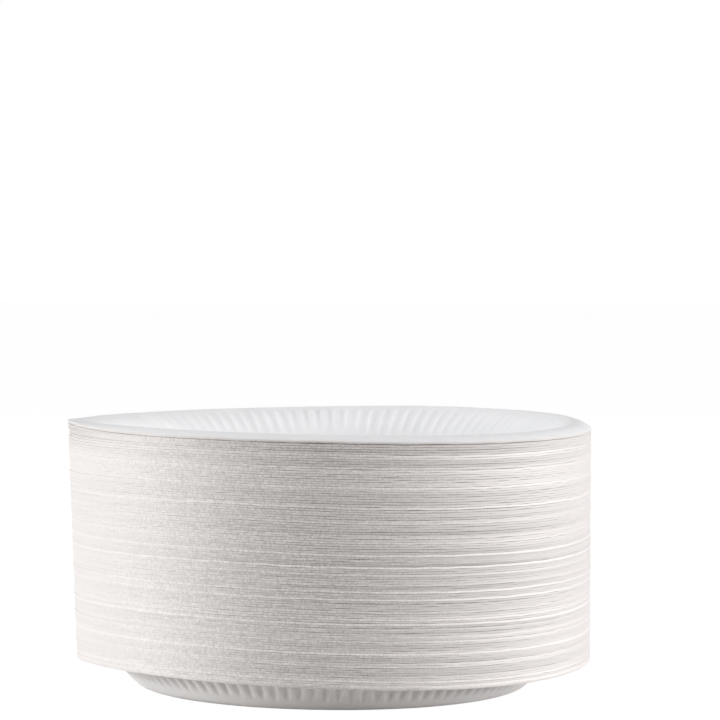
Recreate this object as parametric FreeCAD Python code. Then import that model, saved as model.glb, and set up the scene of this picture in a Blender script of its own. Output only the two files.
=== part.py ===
import FreeCAD, Part

import math
import os

# Stack of round fluted paper plates, all nested in one another.
# Frame: +Z up, origin at the centre of the flat foot that the lowest plate stands on.

# Driving dimensions, in millimetres and degrees
plate_radius = 115.0  # to the cut edge of the rim
board_rise = 0.475  # thickness of the pressed board, measured upright
nesting_play = 0.03  # free height left between two nested plates
plate_count = 200
bundle_count = 3  # solids that the plates between the lowest and the topmost are drawn in

well_radius = 72.5  # flat middle of a plate
foot_width = 11.5  # ring around the well where the floor begins to rise
foot_angle = 5.0
wall_width = 24.3  # from the foot to the crest of the rim, measured level
wall_angle = 33.3  # along the grooves
lip_angle = 21.0  # the lip falls outwards by this much

flute_count = 108
groove_share = 0.22  # of the pitch where a flute ends, the rest is its flat back
flute_depth = 0.75  # upright, from a flute's back to the groove beside it, at its outer end
flute_inset = 1.7  # a flute's back ends this far inside the crest

# Worked out from them
nesting_pitch = board_rise + nesting_play
foot_radius = well_radius + foot_width
crest_radius = foot_radius + wall_width
back_end_radius = crest_radius - flute_inset
wall_slope = math.tan(math.radians(wall_angle))
foot_height = foot_width * math.tan(math.radians(foot_angle))
crest_height = foot_height + wall_width * wall_slope
back_end_height = crest_height - flute_inset * wall_slope + flute_depth
edge_height = crest_height - (plate_radius - crest_radius) * math.tan(math.radians(lip_angle))
flute_turn = 2 * math.pi / flute_count
back_half_turn = flute_turn * (1 - groove_share) / 2


def point(radius, turn, height):
    return FreeCAD.Vector(radius * math.cos(turn), radius * math.sin(turn), height)


def facet(*corners):
    return Part.Face(Part.makePolygon([*corners, corners[0]]))


def plate_surface(height):
    """Facets of a plate's face from the well to the cut edge, and its corners on that edge.

    The well lies at the given height. Each flute is one flat back between two grooves.
    A groove starts at the foot, deepens outwards and runs out at the crest.
    """
    facets = []
    well, edge = [], []
    for i in range(flute_count):
        a, b = i * flute_turn, (i + 1) * flute_turn
        middle = (a + b) / 2
        well_a, well_b = (point(well_radius, t, height) for t in (a, b))
        foot_a, foot_b = (point(foot_radius, t, height + foot_height) for t in (a, b))
        back_a = point(back_end_radius, middle - back_half_turn, height + back_end_height)
        back_b = point(back_end_radius, middle + back_half_turn, height + back_end_height)
        crest_a, crest_b = (point(crest_radius, t, height + crest_height) for t in (a, b))
        edge_a, edge_b = (point(plate_radius, t, height + edge_height) for t in (a, b))
        facets.append(facet(well_a, foot_a, foot_b, well_b))
        facets.append(facet(foot_a, back_a, back_b, foot_b))
        facets.append(facet(foot_a, crest_a, back_a))
        facets.append(facet(foot_b, back_b, crest_b))
        facets.append(facet(back_a, crest_a, crest_b, back_b))
        facets.append(facet(crest_a, edge_a, edge_b, crest_b))
        well.append(well_a)
        edge.append(edge_a)
    facets.append(facet(*well))
    return facets, edge


def nested_plates(first, last):
    """Solid of the plates from first to last, counted from 0 at the bottom."""
    under, low = plate_surface(first * nesting_pitch)
    upper, high = plate_surface(last * nesting_pitch + board_rise)
    rim = []
    for i in range(flute_count):
        rim.append(facet(low[i - 1], low[i], high[i], high[i - 1]))
    shell = Part.makeShell([*under, *upper, *rim])
    shell.sewShape()
    solid = Part.makeSolid(shell)
    if solid.Volume < 0:
        solid.reverse()
    return solid


def main():
    os.makedirs("parts", exist_ok=True)
    top = plate_count - 1
    parts = {"bottom_plate": nested_plates(0, 0), "top_plate": nested_plates(top, top)}
    between = top - 1
    for i in range(bundle_count):
        first = 1 + i * between // bundle_count
        last = (i + 1) * between // bundle_count
        parts[f"plates_{first + 1:03d}_to_{last + 1:03d}"] = nested_plates(first, last)
    for name, shape in parts.items():
        shape.exportStep(f"parts/{name}.step")


main()
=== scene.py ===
import math

import bpy
import numpy as np
from mathutils import Matrix, Vector


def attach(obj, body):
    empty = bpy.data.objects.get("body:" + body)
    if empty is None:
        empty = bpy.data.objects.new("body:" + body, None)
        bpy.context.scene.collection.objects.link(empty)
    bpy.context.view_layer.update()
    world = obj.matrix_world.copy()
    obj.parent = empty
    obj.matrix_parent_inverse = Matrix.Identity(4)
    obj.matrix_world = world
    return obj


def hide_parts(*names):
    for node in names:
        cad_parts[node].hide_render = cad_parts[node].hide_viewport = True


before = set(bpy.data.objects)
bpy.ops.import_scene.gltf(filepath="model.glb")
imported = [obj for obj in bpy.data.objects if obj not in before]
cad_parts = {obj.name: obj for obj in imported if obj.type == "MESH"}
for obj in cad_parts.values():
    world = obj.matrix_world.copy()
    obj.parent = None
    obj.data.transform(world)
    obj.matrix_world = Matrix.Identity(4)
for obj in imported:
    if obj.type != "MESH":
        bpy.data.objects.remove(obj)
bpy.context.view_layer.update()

# One plate, in millimetres as in the CAD model. make_object scales the meshes to metres.
R_EDGE = 115.0  # cut edge
R_WELL = 72.5  # flat middle
R_CREST = 108.3
CREST = 16.97  # height of the crest over the well
LIP_FALL = 2.9  # from the crest to the cut edge
LIP_STRAIGHT, LIP_CURVED = 0.3, 0.7  # shares of that fall
BOARD = 0.475  # thickness, measured upright
RIM_CLOSED, RIM_OPEN = 0.465, 0.39  # drawn thickness of an inner rim, shut and where rims part

# Run of the grooves between the flutes, from the well to the crest: radius and height over the well
PROFILE = (
    (R_WELL, 0.0), (76.0, 0.05), (80.0, 0.25), (83.5, 0.8), (86.0, 1.9), (88.0, 3.6), (90.0, 5.6),
    (93.0, 8.4), (96.5, 11.2), (100.0, 13.6), (104.0, 15.6), (106.5, 16.6), (R_CREST, CREST),
)

# Flutes: rounded ridges on the wall, whose ends are round too
FLUTES = 108
FLUTE_DEPTH = 0.62
FLUTE_DEPTH_BELOW = 1.05  # of the lowest plate, whose underside shows
FLUTE_HALF = 0.41  # half a ridge, as a share of the pitch
R_FLUTE, R_FLUTE_END = 88.2, 105.2  # ends of a ridge along its middle
END_HALF = 0.4  # share of the pitch from the middle at which the ends are drawn back as below
INNER_BACK, OUTER_BACK = 1.0, 1.5
GROW, CLOSE = 4.5, 3.0  # length over which a ridge rises and falls
# Where the flutes are pressed deeper or less deep: angle and width in degrees, and by how much
PRESSED = ((95, 20, 0.4), (42, 28, -0.5), (138, 22, -0.5), (270, 25, 0.3))

# The stack: it leans a little to the left, its rims are slightly warped and its lower rims narrower
COUNT = 200
PITCH = 0.5032  # from plate to plate
BUNDLES = {
    "plates_002_to_067": (1, 66), "plates_068_to_133": (67, 132), "plates_134_to_199": (133, 198),
}
LEAN = -0.0199  # sideways for each millimetre up
TAPER = 1.8  # the lowest rims are narrower by this much
LOWEST_SHORT = 0.3  # and the lowest of all by this much more
EDGE_SLACK = 0.2  # a rim may stand out past R_EDGE by this much
R_STIFF = 78.0  # inside this a plate isn't bent
SADDLE_LOW, SADDLE_HIGH = 1.8, 1.17  # rise and fall of the rims, at the bottom and at the top
LOW_LIPS = 0.65  # the lowest lips hang by this much
FOOT_OFF = 1.1  # the lowest foot sits off to the left, and the wall up to the lip less and less
FOOT_FROM, FOOT_OVER = 84.0, 28.0
LOOSE, LOOSE_GAP = COUNT - 2, 0.15  # plates from here on lie loose, higher by this gap

# Places round the rim are an angle and a width in degrees. The topmost lips rise at the left.
FANNED_FROM, FAN_RISE, FAN_AT = 182, 2.5, (186, 27)
# The lowest lips fall there
DROOPED_TO, DROOP, DROOP_AT = 20, 1.3, (180, 15)
# The wall sags at the front, from one radius on and up to another, each with the width of its change
FRONT_SAG, SAG_AT = 0.8, (268, 75)
SAG_START, SAG_STOP = (90.0, 12.0), (108.0, 7.0)

# How the plates differ from one another. Sizes are the spreads of random draws, in millimetres.
WAVES, WAVE_SIZE = 6, 0.08  # slow waves round the rim, from two crests up
WAVE_KEPT = 0.85  # share of its waves that a plate takes from the one below
PHASE_DRIFT = 0.02
GROUP = (2, 9)  # from two to eight plates are pushed off centre together
GROUP_SHIFT, GROUP_RADIUS, GROUP_TONE = 0.045, 0.035, 0.3
OWN_SHIFT, OWN_RADIUS, OWN_HEIGHT, OWN_BOARD = 0.03, 0.05, 0.012, 0.006
PAIR_DROP = 0.1  # plates stick together in twos: where rims part, the upper one lies this much lower
# Each pair of plates has a random tone; one pair in five is painted lighter, a painted highlight for
# pairs that stand out and catch the light
PAIR_TONES_AND_HIGHLIGHTS, PAIR_SHARES, PAIR_SPREAD = (2.4, -0.5), (0.2, 0.8), 0.6  # one pair in five is light
RIPPLES, RIPPLE_SIZE = 10, (0.018, 0.022)  # small waves of a pair's edge, upwards and outwards
RIPPLE_COUNTS = (7, 70)
ASIDE, ASIDE_AT = 0.05, (305, 30)  # a pair's own step up or down at the right
NICKS = 0.9  # knocks in a rim, on average
NICK_UP, NICK_OUT = (0.06, 0.1), (0.05, 0.3)  # mean and spread upwards, least and most outwards
NICK_WIDTH = 0.012  # in radians

# Painted light and shade of the board, and the random tone of single plates, where above nought is
# lighter. A row is an angle, a width and a shade.
# Painted light and shade on the upper face: the wall lighter, more or less so at places round it, the
# flute backs lighter and the lip darker
WALL_PAINTED_LIGHT = 1.6
WALL_PAINTED_LIGHT_AT = ((95, 20, 0.5), (25, 48, -1.8))
FLUTE_PAINTED_HIGHLIGHT = 0.3
LIP_PAINTED_SHADE = -0.8
LIP_FROM, LIP_OVER = 90.0, 15.0
# Painted shade on the underside: the hollows under the flutes, and two places round the rim
UNDER_FLUTE_PAINTED_SHADE = -1.0
UNDER_PAINTED_SHADE_AT = ((320, 28, -2.6), (215, 20, -1.4))
# Painted shade on the rims where they lie shut, at the left and the right, and painted light on them
# at the front left and front right
SHUT_RIMS_PAINTED_SHADE = -1.5
RIM_PAINTED_LIGHT_AT = ((230, 17, 1.4), (318, 14, 0.98))
LINES_AT, LINES_MORE = (308, 26), 1.3  # single rims stand out most here
LOOSE_TONE = -1.5
ROUGH_AT, ROUGH_WIDTH = (257, 77), 38  # the cut edges are speckled here

# Rims part most at the front, a little right of the middle, and opposite to it at the back
APART_AT, APART_WIDTH, APART_LEAST = 285, 50, 0.22

# Meshes
PLATE_COLUMNS, RIM_COLUMNS = FLUTES * 14, 288
FINE_RINGS = ((72, 80, 3), (80, 86, 5), (86, 93, 11), (93, 104, 8), (104, 107.6, 10), (107.6, 115, 8))
NEAR_EDGE = [114.8, 114.95]
COARSE_RINGS = [72, 80, 84, 87, 90, 94, 99, 104, 106.5, 108.3, 112, 114.95]
RIM_INNER = 111.6  # nothing shows further inside
TOP_ROUND, LOW_ROUND = (0.05, 0.04), (0.04, 0.03)  # in and down, in and up, on a rim's cut edge
CORE_ROWS, CORE_COLUMNS, CORE_STEP = 12, 120, 0.05
SHARP = math.radians(72)

# Board
BOARD_DARK, BOARD_LIGHT = (0.815, 0.815, 0.82, 1), (0.848, 0.848, 0.85, 1)
CUT_EDGE = (0.812, 0.783, 0.762, 1)
# Painted shade: the dark colour of the gaps between rims and of the wall behind them
PAINTED_GAP_SHADE = (0.43, 0.405, 0.38, 1)
ROUGHNESS, SPECULAR = 0.72, 0.25
# The colour is scaled by the tone layer, which holds painted light and shade together with the random
# tone of the plates
TONES, TONE_SCALES = (-6.0, 4.0), (0.678, 1.198)  # the colour is scaled by its shade
UPRIGHT = (0.25, 0.6)  # a face whose normal rises less than this is a cut edge
# Painted shade deepens from the cut edge into the gap between two rims
GAP_SHADE_FROM_EDGE = 0.06  # share of the lip's width in a rim, where the gap reaches its full shade
MOTTLES, FIBRES, SPECKLES = 60.0, 1400.0, 980.0  # in a metre
NOISE = (0.3, 0.7)  # noise below and above this is flat
SPECKLE_SCALES = (0.81, 1.17)
PAIR_STEP = 7.3  # parts the speckles of one pair of plates from those of the next
FIBRE_BUMP, FIBRE_HEIGHT = 0.12, 0.0003  # strength, and height in metres

# Studio: place, target, size in metres, power and colour
LIGHTS = {
    "left": ((-2.4, -0.4, 0.35), (0, 0, 0.06), (1.2, 1.0), 58.6, (0.985, 0.99, 1.0)),
    "right": ((2.4, -0.52, 0.35), (0, 0, 0.06), (1.2, 1.0), 56.0, (0.995, 0.985, 1.0)),
    "above": ((0, 0.1, 1.5), (0, 0, 0.1), (1.6, 1.6), 19.6, (0.99, 0.99, 1.0)),
}
AMBIENT = 0.012
FLOOR, FLOOR_ROUGHNESS = (0.88, 0.835, 0.79, 1), 0.9
FLOOR_CORNERS = [(-6, -6, 0), (6, -6, 0), (6, 9, 0), (-6, 9, 0)]
FLOOR_GLOW = 1.06
GLOW_SEEN, GLOW_UNSEEN = 0.93, 0.035  # share of glow for the camera and for all other rays

# Camera at the photograph's viewing angle: place in metres, turns in radians, lens in millimetres
CAMERA = (0, -1.4, 0.19455)
YAW, DOWN, ROLL = 0.0078, 0.0363, 0.004
LENS, SENSOR = 158.66, 36.0
CLIP = (0.05, 50.0)

rng = np.random.RandomState(7)


def smooth(x):
    x = np.clip(x, 0.0, 1.0)
    return x * x * (3 - 2 * x)


def bump_at(turn, degrees, width):
    """1 at one place round the rim, falling to 0 beside it."""
    aside = (turn - math.radians(degrees) + math.pi) % (2 * math.pi) - math.pi
    return np.exp(-((aside / math.radians(width)) ** 2))


def bumps(turn, places):
    """Sum of the sizes of several places round the rim: (degrees, width, size) each."""
    return sum(size * bump_at(turn, degrees, width) for degrees, width, size in places)


def openness(turn):
    """How far the rims stand apart; it is the same on opposite sides."""
    aside = (turn - math.radians(APART_AT) + math.pi / 2) % math.pi - math.pi / 2
    return APART_LEAST + (1 - APART_LEAST) * np.exp(-((aside / math.radians(APART_WIDTH)) ** 2))


def groove_height(r):
    """Height of the plate's upper face over its well, along the grooves between the flutes."""
    r = np.asarray(r, float)
    radii, heights = np.array(PROFILE).T
    slopes = np.gradient(heights, radii)
    slopes[0], slopes[-1] = 0.0, 0.0
    k = np.clip(np.searchsorted(radii, r, side="right") - 1, 0, len(radii) - 2)
    width = radii[k + 1] - radii[k]
    t = np.clip((r - radii[k]) / width, 0, 1)
    start = heights[k] * (1 + 2 * t) * (1 - t) ** 2 + width * slopes[k] * t * (1 - t) ** 2
    stop = heights[k + 1] * t**2 * (3 - 2 * t) + width * slopes[k + 1] * t**2 * (t - 1)
    outward = np.clip((r - R_CREST) / (R_EDGE - R_CREST), 0, None)
    return start + stop - LIP_FALL * (LIP_STRAIGHT * outward + LIP_CURVED * outward**2)


def flute(r, turn):
    """1 on the back of a flute and 0 in the groove beside it and past its ends."""
    across = np.abs((turn * FLUTES / (2 * math.pi)) % 1.0 - 0.5)
    end = (across / END_HALF) ** 2
    back = 1 - smooth(across / FLUTE_HALF)
    grow = smooth((r - R_FLUTE - INNER_BACK * end) / GROW)
    close = smooth((R_FLUTE_END - OUTER_BACK * end - r) / CLOSE)
    return back * grow * close


def face_height(r, turn, depth=FLUTE_DEPTH):
    """Height of the face with its flutes; turn is the angle round the axis."""
    return groove_height(r) + depth * (1 + bumps(turn, PRESSED)) * flute(r, turn)


class Plate:
    """Where one plate of the stack lies, and how it is bent."""

    def __init__(self, index, shift, radius, wave, phase, ripple):
        self.index = index
        self.shift = shift
        self.radius = radius
        self.wave = wave
        self.phase = phase
        self.ripple = ripple
        self.base = index * PITCH
        self.tone = 0.0
        self.aside = 0.0
        self.nicks = []
        self.low = 1 - index / (COUNT - 1)

    def warp(self, r, turn, rim):
        """How far the wall and the rim are bent up."""
        saddle = SADDLE_HIGH + (SADDLE_LOW - SADDLE_HIGH) * self.low
        up = rim * saddle * np.sin(2 * turn)
        for k, (size, phase) in enumerate(zip(self.wave, self.phase)):
            up = up + rim * size * np.sin((k + 2) * turn + phase)
        started, stopped = (smooth((r - radius) / width) for radius, width in (SAG_START, SAG_STOP))
        return up - FRONT_SAG * bump_at(turn, *SAG_AT) * started * (1 - stopped)

    def lip_bend(self, lip, turn):
        """How far the lip is bent up, and how far its edge stands out."""
        apart = lip * openness(turn)
        up = -LOW_LIPS * self.low * lip
        out = np.zeros_like(up)
        if self.index % 2 and self.index > 1:
            up = up - PAIR_DROP * apart
        up = up + self.aside * lip * bump_at(turn, *ASIDE_AT)
        for count, phase, high, wide in self.ripple:
            up = up + apart * high * np.sin(count * turn + phase)
            out = out + apart * wide * np.cos(count * turn + 2 * phase)
        for angle, high, wide in self.nicks:
            aside = (turn - angle + math.pi) % (2 * math.pi) - math.pi
            near = np.exp(-((aside / NICK_WIDTH) ** 2))
            up, out = up + lip * high * near, out + lip * wide * near
        fanned = min(max((self.index - FANNED_FROM) / (COUNT - 1 - FANNED_FROM), 0.0), 1.0)
        drooped = max(1 - self.index / DROOPED_TO, 0.0)
        up = up + FAN_RISE * fanned * lip * bump_at(turn, *FAN_AT)
        return up - DROOP * drooped * lip * bump_at(turn, *DROOP_AT), out

    def place(self, r, turn, height):
        """Points in the stack, from radius, angle and height over the plate's own well."""
        rim = np.clip((r - R_STIFF) / (R_EDGE - R_STIFF), 0, None)
        lip = np.clip((r - R_CREST) / (R_EDGE - R_CREST), 0, None) ** 2
        up, out = self.lip_bend(lip, turn)
        z = self.base + height + self.warp(r, turn, rim) + up
        scale = 1 + (rim**2 * (self.radius - R_EDGE) + out) / R_EDGE
        foot = 1 - smooth((r - FOOT_FROM) / FOOT_OVER)
        x = r * scale * np.cos(turn) + self.shift[0] + LEAN * z - FOOT_OFF * foot * self.low
        y = r * scale * np.sin(turn) + self.shift[1]
        return np.stack([x, y, z], -1)


def draw_ripple():
    """Small waves along one rim: crests round it, phase, and size upwards and outwards."""
    sizes = rng.normal(0, 1, (RIPPLES, 2)) * RIPPLE_SIZE
    return [(rng.randint(*RIPPLE_COUNTS), rng.uniform(0, 2 * math.pi), up, wide) for up, wide in sizes]


def draw_nick():
    """A small knock in a rim: its angle, and how far it goes up and out."""
    return rng.uniform(0, 2 * math.pi), rng.normal(*NICK_UP), rng.uniform(*NICK_OUT)


def make_plates():
    """All the plates: stuck pairs, small groups that sit a little off the rest, and slow waves."""
    plates = []
    left = 0
    wave = np.zeros(WAVES)
    phase = rng.uniform(0, 2 * math.pi, WAVES)
    target = rng.normal(0, WAVE_SIZE, WAVES)
    for i in range(COUNT):
        if left == 0:
            left = rng.randint(*GROUP)
            group_shift = rng.normal(0, GROUP_SHIFT, 2)
            group_radius = rng.normal(0, GROUP_RADIUS)
            group_tone = rng.normal(0, GROUP_TONE)
            target = rng.normal(0, WAVE_SIZE, WAVES)
        left -= 1
        wave = wave * WAVE_KEPT + target * (1 - WAVE_KEPT)
        phase = phase + rng.normal(0, PHASE_DRIFT, WAVES)
        narrower = TAPER * (1 - i / (COUNT - 1))
        radius = R_EDGE - narrower + group_radius + rng.normal(0, OWN_RADIUS)
        radius = min(radius, R_EDGE + EDGE_SLACK)
        if i % 2 == 0:
            ripple = draw_ripple()
        shift = group_shift + rng.normal(0, OWN_SHIFT, 2)
        plate = Plate(i, shift, radius, wave.copy(), phase.copy(), ripple)
        plate.base += rng.normal(0, OWN_HEIGHT)
        if i % 2 == 0:
            # Random tone of the pair, with a painted highlight on one pair in five
            pair_tone_and_highlight = rng.choice(PAIR_TONES_AND_HIGHLIGHTS, p=PAIR_SHARES) + rng.normal(0, PAIR_SPREAD)
            aside = rng.normal(0, ASIDE)
        plate.tone = group_tone + pair_tone_and_highlight
        plate.aside = aside
        plate.nicks = [draw_nick() for _ in range(rng.poisson(NICKS))]
        plates.append(plate)
    lowest, second = plates[:2]
    lowest.shift = np.zeros(2)
    lowest.base = 0.0
    lowest.radius = R_EDGE - TAPER - LOWEST_SHORT
    second.base = PITCH
    for plate in plates[LOOSE:]:
        plate.base += LOOSE_GAP
        plate.radius = R_EDGE + EDGE_SLACK
        plate.tone = LOOSE_TONE
    return plates


def grid_faces(rows, columns, start=0):
    """Quads of a grid that closes on itself along its columns."""
    a = np.arange(rows - 1)[:, None] * columns
    j = np.arange(columns)[None, :]
    k = (j + 1) % columns
    quads = np.stack([a + j, a + k, a + columns + k, a + columns + j], -1)
    return quads.reshape(-1, 4) + start


def make_object(name, points, quads, centres=()):
    """Mesh object from points in millimetres; centres are (point, ring start, columns, flip) fans."""
    tris = []
    points = list(points)
    for centre, start, columns, flip in centres:
        j = np.arange(columns)
        k = (j + 1) % columns
        fan = np.stack([start + j, start + k, np.full(columns, len(points))], -1)
        tris.append(fan[:, ::-1] if flip else fan)
        points.append(centre)
    points = np.asarray(points, float) / 1000.0
    mesh = bpy.data.meshes.new(name)
    loops = np.concatenate([quads.reshape(-1)] + [t.reshape(-1) for t in tris]).astype(np.int32)
    sizes = np.concatenate([np.full(len(quads), 4)] + [np.full(len(t), 3) for t in tris])
    starts = np.concatenate([[0], np.cumsum(sizes)[:-1]]).astype(np.int32)
    mesh.vertices.add(len(points))
    mesh.vertices.foreach_set("co", points.astype(np.float32).reshape(-1))
    mesh.loops.add(len(loops))
    mesh.loops.foreach_set("vertex_index", loops)
    mesh.polygons.add(len(sizes))
    mesh.polygons.foreach_set("loop_start", starts)
    mesh.update(calc_edges=True)
    mesh.validate()
    mesh.polygons.foreach_set("use_smooth", np.ones(len(mesh.polygons), bool))
    mesh.set_sharp_from_angle(angle=SHARP)
    obj = bpy.data.objects.new(name, mesh)
    bpy.context.scene.collection.objects.link(obj)
    return obj


def write_layers(obj, **layers):
    """Store one number a vertex for each named layer; the board's material reads them."""
    for label, values in layers.items():
        layer = obj.data.attributes.new(label, "FLOAT", "POINT")
        layer.data.foreach_set("value", np.asarray(values, np.float32))


def upper_painted_light(r, turn):
    """Painted light and shade on a plate's upper face: a lighter wall, lighter flute backs and a
    darker lip.
    """
    outward = smooth((r - LIP_FROM) / LIP_OVER)
    wall = WALL_PAINTED_LIGHT * (1 + bumps(turn, WALL_PAINTED_LIGHT_AT))
    return wall * (1 - outward) + LIP_PAINTED_SHADE * outward + FLUTE_PAINTED_HIGHLIGHT * flute(r, turn)


def under_painted_shade(r, turn):
    """Painted shade on a plate's underside: darker in the hollows under the flutes and at two places
    round the rim.
    """
    return UNDER_FLUTE_PAINTED_SHADE * flute(r, turn) + bumps(turn, UNDER_PAINTED_SHADE_AT)


def full_plate(name, plate, upper_rows, under_rows, depth):
    """A whole plate: upper face, cut edge and underside, each from its own rings of points."""
    turn = np.arange(PLATE_COLUMNS) * 2 * math.pi / PLATE_COLUMNS
    rows, painted_light_and_tones = [], []
    for lift, radii, painted_light_of in ((BOARD, upper_rows, upper_painted_light), (0.0, under_rows, under_painted_shade)):
        for radius in radii:
            r = np.full(PLATE_COLUMNS, float(radius))
            rows.append(plate.place(r, turn, lift + face_height(r, turn, depth)))
            painted_light_and_tones.append(painted_light_of(r, turn))
    quads = grid_faces(len(rows), PLATE_COLUMNS)[:, ::-1]
    middle, below = (plate.place(np.zeros(1), np.zeros(1), np.array([z]))[0] for z in (BOARD, 0.0))
    last_row = (len(rows) - 1) * PLATE_COLUMNS
    fans = [(middle, 0, PLATE_COLUMNS, True), (below, last_row, PLATE_COLUMNS, False)]
    obj = make_object(name, np.concatenate(rows), quads, fans)
    write_layers(obj, tone=np.concatenate(painted_light_and_tones + [[WALL_PAINTED_LIGHT, 0.0]]))
    return obj


def rim_outline(thick):
    """Section of a rim: radius, height and share of painted shade, which is full deep in the gap
    between two rims.
    """
    return (
        (RIM_INNER, thick, 1.0),
        (R_EDGE - TOP_ROUND[0], thick, 0.0),
        (R_EDGE, thick - TOP_ROUND[1], 0.0),
        (R_EDGE, LOW_ROUND[1], 0.0),
        (R_EDGE - LOW_ROUND[0], 0.0, 0.0),
        (RIM_INNER, 0.0, 1.0),
    )


def inner_wall(plates, start):
    """Points and faces of the plain wall behind the rims, coloured all over with the painted gap
    shade.
    """
    turn = np.arange(CORE_COLUMNS) * 2 * math.pi / CORE_COLUMNS
    r = np.full(CORE_COLUMNS, RIM_INNER + CORE_STEP)
    rows = []
    for i in range(CORE_ROWS):
        plate = plates[round(i * (len(plates) - 1) / (CORE_ROWS - 1))]
        lift = BOARD if i == CORE_ROWS - 1 else 0.0
        rows.append(plate.place(r, turn, lift + face_height(r, turn)))
    return rows, grid_faces(CORE_ROWS, CORE_COLUMNS, start)


def rim_stack(name, plates):
    """The rims of many plates, and a plain wall behind them, with layers for their tone and for
    painted light and shade.
    """
    turn = np.arange(RIM_COLUMNS) * 2 * math.pi / RIM_COLUMNS
    apart = openness(turn)
    rough = sum(bump_at(turn, degrees, ROUGH_WIDTH) for degrees in ROUGH_AT)
    points, quads, start = [], [], 0
    painted_light_and_tones, gap_shade_shares, pairs, parted = [], [], [], []
    for plate in plates:
        thick = RIM_CLOSED - (RIM_CLOSED - RIM_OPEN) * apart + rng.normal(0, OWN_BOARD)
        outline = rim_outline(thick)
        for radius, lift, depth in outline:
            r = np.full(RIM_COLUMNS, radius)
            points.append(plate.place(r, turn, lift + face_height(r, turn)))
            gap_shade_shares.append(np.full(RIM_COLUMNS, depth))
        # Each plate's tone and painted highlight where rims part, painted shade where they lie shut,
        # and painted light at two places
        tone = plate.tone * apart * (1 + LINES_MORE * bump_at(turn, *LINES_AT))
        tone = tone + SHUT_RIMS_PAINTED_SHADE * (1 - apart) + bumps(turn, RIM_PAINTED_LIGHT_AT)
        painted_light_and_tones.append(np.tile(tone, len(outline)))
        pairs.append(np.full(len(outline) * RIM_COLUMNS, plate.index // 2))
        parted.append(np.tile(rough, len(outline)))
        quads.append(grid_faces(len(outline), RIM_COLUMNS, start)[:, ::-1])
        start += len(outline) * RIM_COLUMNS
    wall_rows, wall_quads = inner_wall(plates, start)
    points += wall_rows
    quads.append(wall_quads)
    none = np.zeros(CORE_ROWS * CORE_COLUMNS)
    obj = make_object(name, np.concatenate(points), np.concatenate(quads))
    write_layers(
        obj,
        tone=np.concatenate(painted_light_and_tones + [none]),
        # Share of painted gap shade, full on the wall behind the rims
        depth=np.concatenate(gap_shade_shares + [none + 1]),
        pair=np.concatenate(pairs + [none]),
        parted=np.concatenate(parted + [none]),
    )
    return obj


def rings(stretches):
    """Radii of rings, from stretches of (start, stop, count); a stop is left to the next stretch."""
    out = []
    for start, stop, count in stretches:
        out += list(np.linspace(start, stop, count, endpoint=False))
    return out


def make_pieces():
    """Each piece with the CAD node that it replaces."""
    fine = rings(FINE_RINGS) + NEAR_EDGE
    fine_under, coarse_under = ([R_EDGE] + radii[-2::-1] for radii in (fine, COARSE_RINGS))
    plates = make_plates()
    top = full_plate("top_plate_paper", plates[-1], fine, coarse_under, FLUTE_DEPTH)
    yield top, "top_plate"
    bottom = full_plate("bottom_plate_paper", plates[0], COARSE_RINGS, fine_under, FLUTE_DEPTH_BELOW)
    yield bottom, "bottom_plate"
    for node, (first, last) in BUNDLES.items():
        yield rim_stack(node + "_rims", plates[first : last + 1]), node


class NodeTree:
    """Short calls for the nodes of a material or a world."""

    def __init__(self, owner):
        owner.use_nodes = True
        self.nodes = owner.node_tree.nodes
        self.links = owner.node_tree.links

    def add(self, kind, inputs=None, **settings):
        """New node; an input is a number, a colour or the socket that it is linked to."""
        node = self.nodes.new("ShaderNode" + kind)
        for label, value in settings.items():
            setattr(node, label, value)
        for label, value in (inputs or {}).items():
            if isinstance(value, bpy.types.NodeSocket):
                self.links.new(value, node.inputs[label])
            else:
                node.inputs[label].default_value = value
        return node

    def attribute(self, label):
        return self.add("Attribute", attribute_name=label).outputs["Fac"]

    def noise(self, place, scale, detail):
        inputs = {"Vector": place, "Scale": scale, "Detail": detail}
        return self.add("TexNoise", inputs).outputs["Fac"]

    def remap(self, value, old, new):
        inputs = {
            "Value": value, "From Min": old[0], "From Max": old[1], "To Min": new[0], "To Max": new[1],
        }
        return self.add("MapRange", inputs).outputs["Result"]

    def product(self, a, b):
        node = self.add("Math", operation="MULTIPLY")
        self.links.new(a, node.inputs[0])
        if isinstance(b, bpy.types.NodeSocket):
            self.links.new(b, node.inputs[1])
        else:
            node.inputs[1].default_value = b
        return node.outputs["Value"]

    def mix(self, factor, a, b, data_type="RGBA"):
        inputs = {"Factor": factor, "A": a, "B": b}
        return self.add("Mix", inputs, data_type=data_type).outputs["Result"]

    def scaled(self, colour, factor):
        inputs = {"Vector": colour, "Scale": factor}
        return self.add("VectorMath", inputs, operation="SCALE").outputs["Vector"]


def mottled(tree, place):
    """Board colour with faint clouds."""
    ramp = tree.add("ValToRGB", {"Fac": tree.noise(place, MOTTLES, 4.0)})
    for element, position, colour in zip(
        ramp.color_ramp.elements, NOISE, (BOARD_DARK, BOARD_LIGHT)
    ):
        element.position, element.color = position, colour
    return ramp.outputs["Color"]


def cut_edge_share(tree):
    """1 on the upright faces of the cut edges, 0 elsewhere."""
    normal = tree.add("NewGeometry").outputs["True Normal"]
    rise = tree.add("SeparateXYZ", {"Vector": normal}).outputs["Z"]
    level = tree.add("Math", operation="ABSOLUTE")
    tree.links.new(rise, level.inputs[0])
    return tree.remap(level.outputs["Value"], UPRIGHT, (1.0, 0.0))


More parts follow.
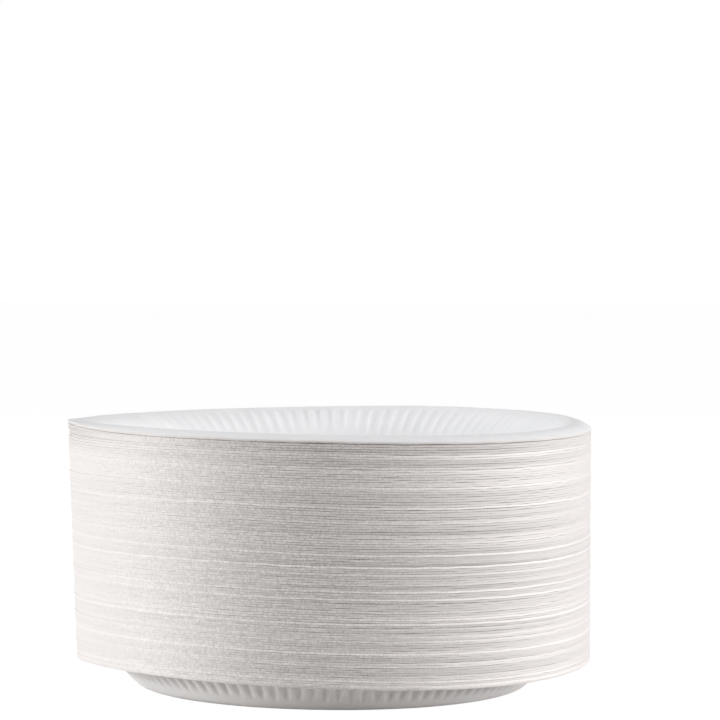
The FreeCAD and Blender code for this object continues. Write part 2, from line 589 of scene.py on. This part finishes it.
def speckles(tree, place):
    """Short-grained shades along each pair of rims, unlike those of the next pair."""
    along = tree.add("VectorMath", operation="MULTIPLY")
    tree.links.new(place, along.inputs[0])
    along.inputs[1].default_value = (SPECKLES, SPECKLES, 0.0)
    step = tree.product(tree.attribute("pair"), PAIR_STEP)
    lifted = tree.add("VectorMath", operation="ADD")
    tree.links.new(along.outputs["Vector"], lifted.inputs[0])
    tree.links.new(tree.add("CombineXYZ", {"Z": step}).outputs["Vector"], lifted.inputs[1])
    noise = tree.noise(lifted.outputs["Vector"], 1.0, 1.0)
    return tree.remap(noise, NOISE, SPECKLE_SCALES)


def white_board():
    """Matt white pressed board: faint mottling and fibres, warm cut edges, painted shade in the gaps
    between rims, and painted light and shade from the tone layer.
    """
    mat = bpy.data.materials.new("white_board")
    tree = NodeTree(mat)
    shader = tree.nodes["Principled BSDF"]
    shader.inputs["Roughness"].default_value = ROUGHNESS
    shader.inputs["Specular IOR Level"].default_value = SPECULAR
    place = tree.add("TexCoord").outputs["Object"]
    side = cut_edge_share(tree)
    colour = tree.mix(side, mottled(tree, place), CUT_EDGE)
    # Painted light and shade, with the plates' random tone, scale the colour
    colour = tree.scaled(colour, tree.remap(tree.attribute("tone"), TONES, TONE_SCALES))
    speckled = tree.product(tree.attribute("parted"), side)
    colour = tree.scaled(colour, tree.mix(speckled, 1.0, speckles(tree, place), "FLOAT"))
    # Painted shade: the colour darkens towards the inside of the gaps between rims
    gap_shade_share = tree.remap(tree.attribute("depth"), (0.0, GAP_SHADE_FROM_EDGE), (0.0, 1.0))
    tree.links.new(tree.mix(gap_shade_share, colour, PAINTED_GAP_SHADE), shader.inputs["Base Color"])
    fibres = tree.noise(place, FIBRES, 3.0)
    bump = tree.add("Bump", {"Strength": FIBRE_BUMP, "Distance": FIBRE_HEIGHT, "Height": fibres})
    tree.links.new(bump.outputs["Normal"], shader.inputs["Normal"])
    return mat


def area_light(name, place, target, size, power, colour):
    data = bpy.data.lights.new(name, "AREA")
    data.shape = "RECTANGLE"
    data.size, data.size_y = size
    data.energy = power
    data.color = colour
    light = bpy.data.objects.new(name, data)
    light.location = place
    towards = Vector(target) - Vector(place)
    light.rotation_euler = towards.to_track_quat("-Z", "Y").to_euler()
    bpy.context.scene.collection.objects.link(light)


def make_world():
    """White for the camera, and next to no light from it."""
    world = bpy.data.worlds.new("studio")
    bpy.context.scene.world = world
    tree = NodeTree(world)
    seen = tree.add("LightPath").outputs["Is Camera Ray"]
    colour = tree.mix(seen, (AMBIENT, AMBIENT, AMBIENT, 1), (1, 1, 1, 1))
    tree.links.new(colour, tree.nodes["Background"].inputs["Color"])
    tree.nodes["Background"].inputs["Strength"].default_value = 1.0


def make_floor():
    """Plain pale floor, nearly white for the camera, which keeps a trace of the shadow."""
    mesh = bpy.data.meshes.new("floor")
    mesh.from_pydata(FLOOR_CORNERS, [], [(0, 1, 2, 3)])
    floor = bpy.data.objects.new("floor", mesh)
    bpy.context.scene.collection.objects.link(floor)
    mat = bpy.data.materials.new("floor")
    tree = NodeTree(mat)
    shader = tree.nodes["Principled BSDF"]
    shader.inputs["Base Color"].default_value = FLOOR
    shader.inputs["Roughness"].default_value = FLOOR_ROUGHNESS
    shader.inputs["Specular IOR Level"].default_value = 0.0
    glow = tree.add("Emission", {"Strength": FLOOR_GLOW})
    seen = tree.add("LightPath").outputs["Is Camera Ray"]
    both = tree.add("MixShader", {"Fac": tree.remap(seen, (0.0, 1.0), (GLOW_UNSEEN, GLOW_SEEN))})
    tree.links.new(shader.outputs["BSDF"], both.inputs[1])
    tree.links.new(glow.outputs["Emission"], both.inputs[2])
    tree.links.new(both.outputs["Shader"], tree.nodes["Material Output"].inputs["Surface"])
    mesh.materials.append(mat)


def make_camera():
    level = math.cos(DOWN)
    ahead = Vector((math.sin(YAW) * level, math.cos(YAW) * level, -math.sin(DOWN)))
    side = Vector((math.cos(YAW), -math.sin(YAW), 0))
    over = side.cross(ahead)
    right = side * math.cos(ROLL) + over * math.sin(ROLL)
    up = over * math.cos(ROLL) - side * math.sin(ROLL)
    data = bpy.data.cameras.new("camera")
    data.sensor_width = SENSOR
    data.lens = LENS
    data.clip_start, data.clip_end = CLIP
    camera = bpy.data.objects.new("camera", data)
    turned = Matrix((right, up, -ahead)).transposed().to_4x4()
    camera.matrix_world = Matrix.Translation(CAMERA) @ turned
    bpy.context.scene.collection.objects.link(camera)
    bpy.context.scene.camera = camera
    bpy.context.scene.view_settings.view_transform = "Standard"


pieces = list(make_pieces())
board = white_board()
for obj, node in pieces:
    obj.data.materials.append(board)
    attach(obj, "root")
    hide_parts(node)

for name, settings in LIGHTS.items():
    area_light(name, *settings)
make_world()
make_floor()
make_camera()

bpy.context.view_layer.update()
